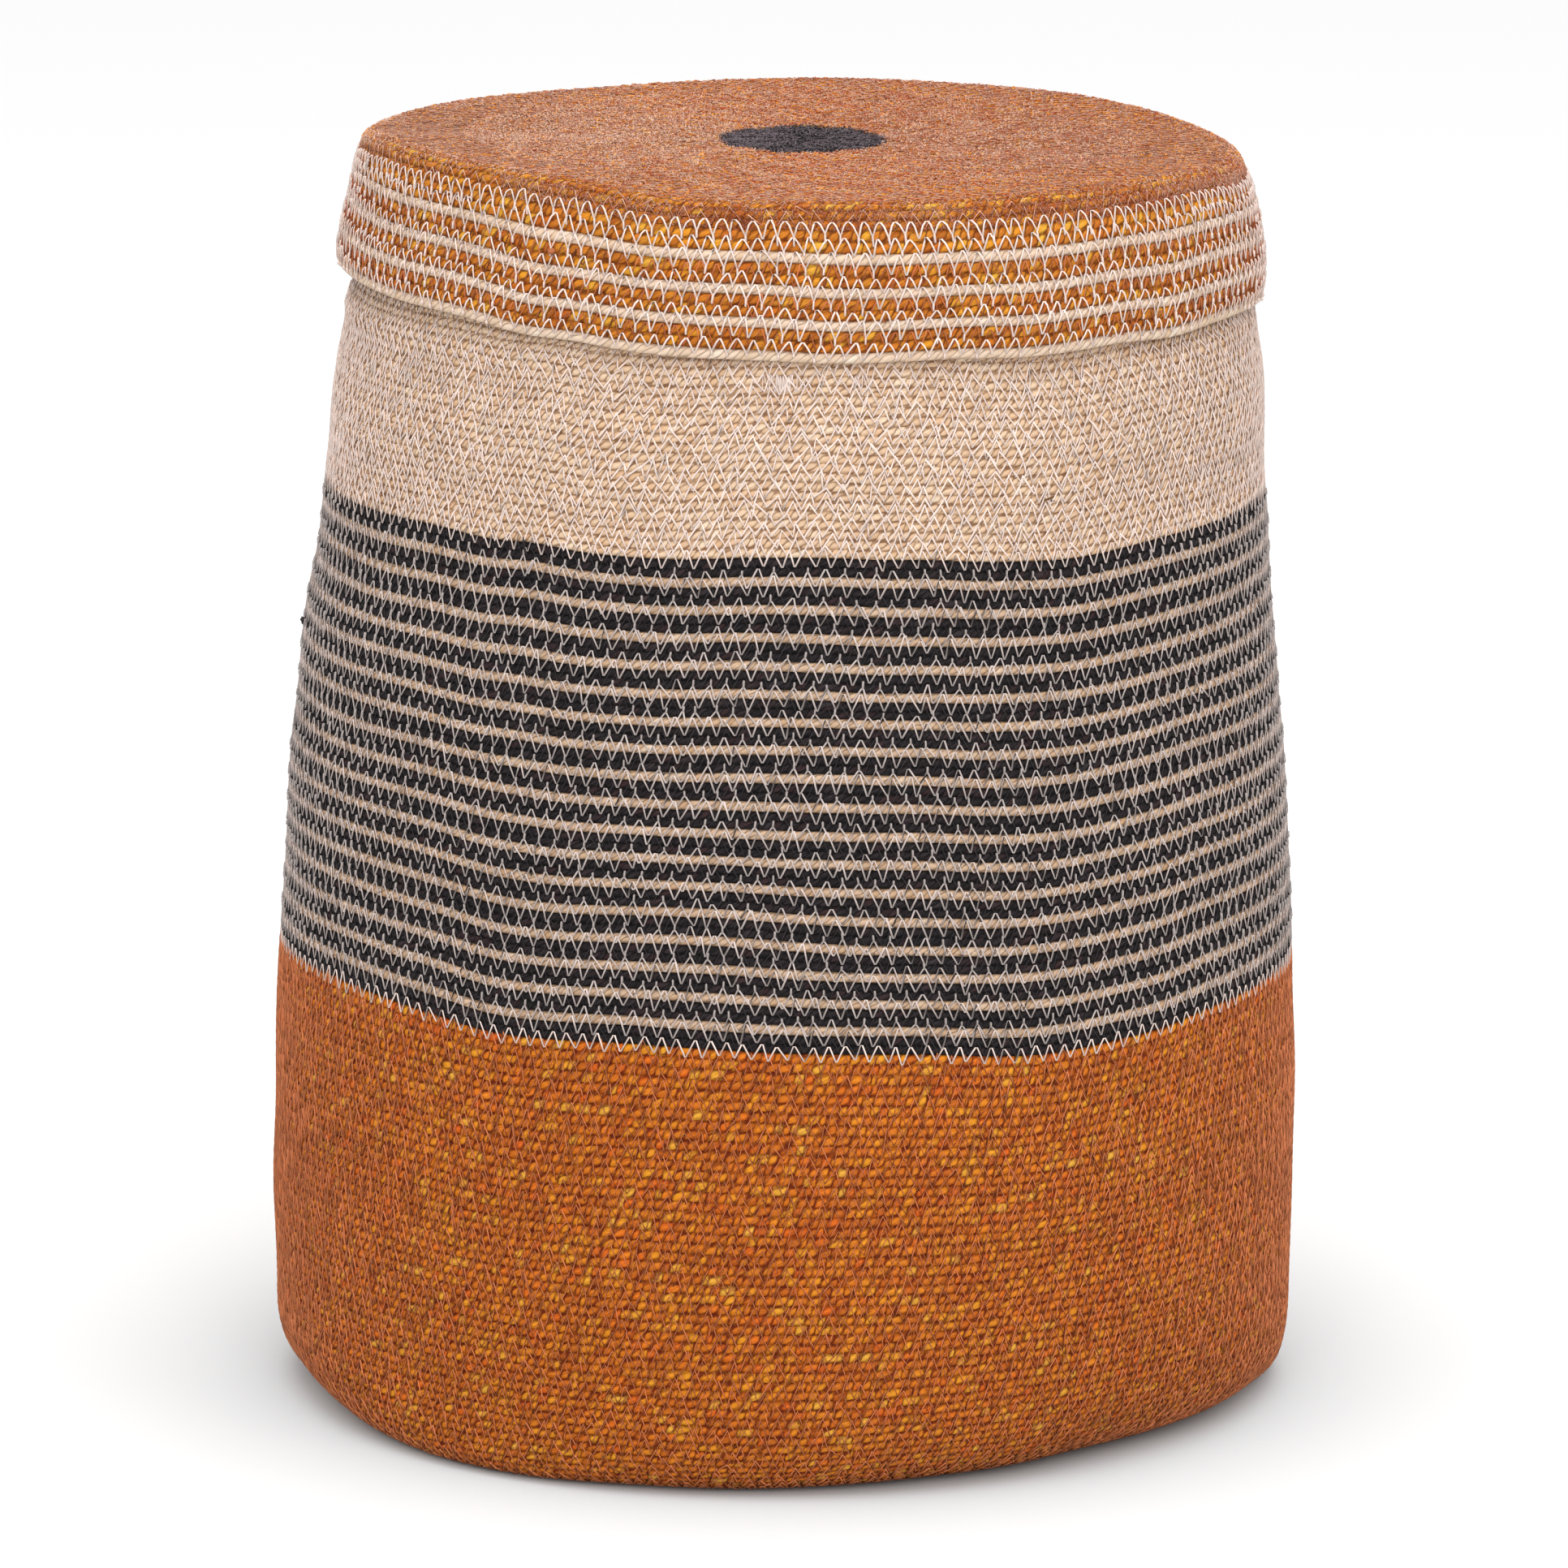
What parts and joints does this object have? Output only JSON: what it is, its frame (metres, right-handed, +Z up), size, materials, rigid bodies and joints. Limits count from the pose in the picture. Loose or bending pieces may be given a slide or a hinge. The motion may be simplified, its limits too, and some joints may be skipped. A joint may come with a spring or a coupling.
{
  "type": "lidded coiled basket",
  "caption": "Tall round basket of coiled, stitched grass cord, orange, black and natural in bands, with a flat cap lid that lifts straight off.",
  "frame": {"origin": "centre of the flat bottom, on the surface the basket stands on", "axes": "+Z up along the basket's own axis, -Y towards the side that the picture shows"},
  "size_m": [0.3598, 0.3598, 0.44],
  "materials": {
    "orange_grass": "matte",
    "black_grass": "matte",
    "natural_grass": "matte",
    "pale_thread": "matte",
    "brick_thread": "matte",
    "dark_thread": "matte"
  },
  "bodies": {
    "basket": {"orange_base_and_wall": "orange_grass", "black_course_01": "black_grass", "black_course_02": "black_grass", "black_course_03": "black_grass", "black_course_04": "black_grass", "black_course_05": "black_grass", "black_course_06": "black_grass", "black_course_07": "black_grass", "black_course_08": "black_grass", "black_course_09": "black_grass", "black_course_10": "black_grass", "black_course_11": "black_grass", "black_course_12": "black_grass", "black_course_13": "black_grass", "black_course_14": "black_grass", "black_course_15": "black_grass", "black_course_16": "black_grass", "black_course_17": "black_grass", "black_course_18": "black_grass", "natural_course_01": "natural_grass", "natural_course_02": "natural_grass", "natural_course_03": "natural_grass", "natural_course_04": "natural_grass", "natural_course_05": "natural_grass", "natural_course_06": "natural_grass", "natural_course_07": "natural_grass", "natural_course_08": "natural_grass", "natural_course_09": "natural_grass", "natural_course_10": "natural_grass", "natural_course_11": "natural_grass", "natural_course_12": "natural_grass", "natural_course_13": "natural_grass", "natural_course_14": "natural_grass", "natural_course_15": "natural_grass", "natural_course_16": "natural_grass", "natural_course_17": "natural_grass", "natural_upper_wall": "natural_grass"},
    "lid": {"lid_natural_course_1": "natural_grass", "lid_natural_course_2": "natural_grass", "lid_natural_course_3": "natural_grass", "lid_natural_course_4": "natural_grass", "lid_orange_course_1": "orange_grass", "lid_orange_course_2": "orange_grass", "lid_orange_course_3": "orange_grass", "lid_orange_top": "orange_grass", "lid_black_centre": "black_grass"}
  },
  "joints": [
    {"name": "lid_lift", "type": "slide", "parent": "basket", "child": "lid", "axis": [0, 0, 1], "range_m": [0, 0.2]}
  ]
}
